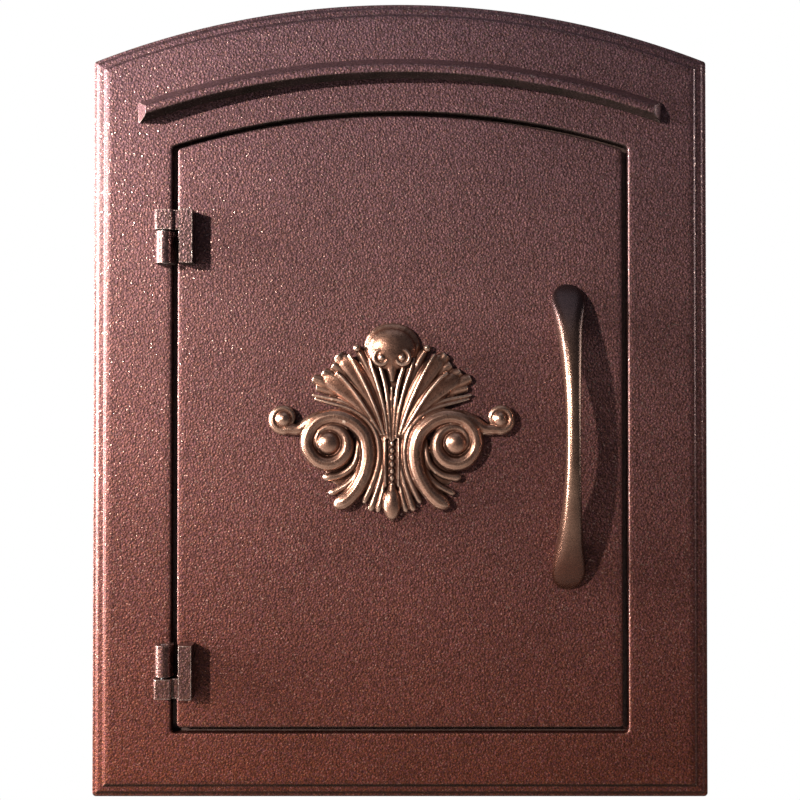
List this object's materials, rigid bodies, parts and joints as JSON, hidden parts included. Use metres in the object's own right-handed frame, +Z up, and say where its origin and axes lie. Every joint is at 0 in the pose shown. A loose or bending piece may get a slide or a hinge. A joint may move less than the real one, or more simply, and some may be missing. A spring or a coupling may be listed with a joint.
{
  "type": "wall mounted mailbox",
  "caption": "Wall mounted mailbox: cast arched faceplate with drip ledge, side-hung door with bow pull and scroll emblem, magnetic catch, on a folded steel box.",
  "frame": {"origin": "on the back panel's outer face, which lies on the wall: midway across, and midway between the faceplate's top and bottom", "axes": "+Y out of the back panel into the wall, +Z up, +X to the right seen from the front, so the door faces -Y"},
  "size_m": [0.3608, 0.2383, 0.4658],
  "materials": {
    "hammered_coat": "satin",
    "antique_copper": "satin",
    "box_paint": "satin",
    "zinc_plate": "satin",
    "steel": "satin",
    "seal_rubber": "matte",
    "catch_plastic": "matte",
    "magnet_ferrite": "matte"
  },
  "bodies": {
    "box": {"back_panel": "box_paint", "box_shell": "box_paint", "catch_bracket": "zinc_plate", "catch_bracket_screw_1": "steel", "catch_bracket_screw_2": "steel", "catch_housing": "catch_plastic", "catch_magnet": "magnet_ferrite", "catch_screw": "steel", "door_seal": "seal_rubber", "drip_hood": "hammered_coat", "faceplate": "hammered_coat", "flange_screw_1": "steel", "flange_screw_2": "steel", "flange_screw_3": "steel", "flange_screw_4": "steel", "flange_screw_5": "steel", "flange_screw_6": "steel", "flange_screw_7": "steel", "flange_screw_8": "steel", "floor_pan": "box_paint", "hood_screw_1": "steel", "hood_screw_2": "steel", "lower_frame_knuckle": "hammered_coat", "lower_hinge_pin": "steel", "lower_knuckle_screw_1": "steel", "lower_knuckle_screw_2": "steel", "pole_plate_left": "steel", "pole_plate_right": "steel", "rivet_left_1": "steel", "rivet_left_2": "steel", "rivet_left_3": "steel", "rivet_right_1": "steel", "rivet_right_2": "steel", "rivet_right_3": "steel", "stop_frame": "box_paint", "stop_screw_1": "steel", "stop_screw_2": "steel", "upper_frame_knuckle": "hammered_coat", "upper_hinge_pin": "steel", "upper_knuckle_screw_1": "steel", "upper_knuckle_screw_2": "steel"},
    "door": {"door_panel": "hammered_coat", "emblem": "antique_copper", "emblem_screw_1": "steel", "emblem_screw_2": "steel", "handle": "hammered_coat", "handle_screw_1": "steel", "handle_screw_2": "steel", "handle_washer_1": "zinc_plate", "handle_washer_2": "zinc_plate", "lower_door_leaf": "hammered_coat", "lower_leaf_screw_1": "steel", "lower_leaf_screw_2": "steel", "strike_plate": "zinc_plate", "strike_screw_1": "steel", "strike_screw_2": "steel", "upper_door_leaf": "hammered_coat", "upper_leaf_screw_1": "steel", "upper_leaf_screw_2": "steel"}
  },
  "joints": [
    {"name": "door_hinge", "type": "hinge", "parent": "box", "child": "door", "pos_m": [-0.1364, -0.2135, 0], "axis": [0, 0, -1], "range_deg": [0, 170]}
  ]
}
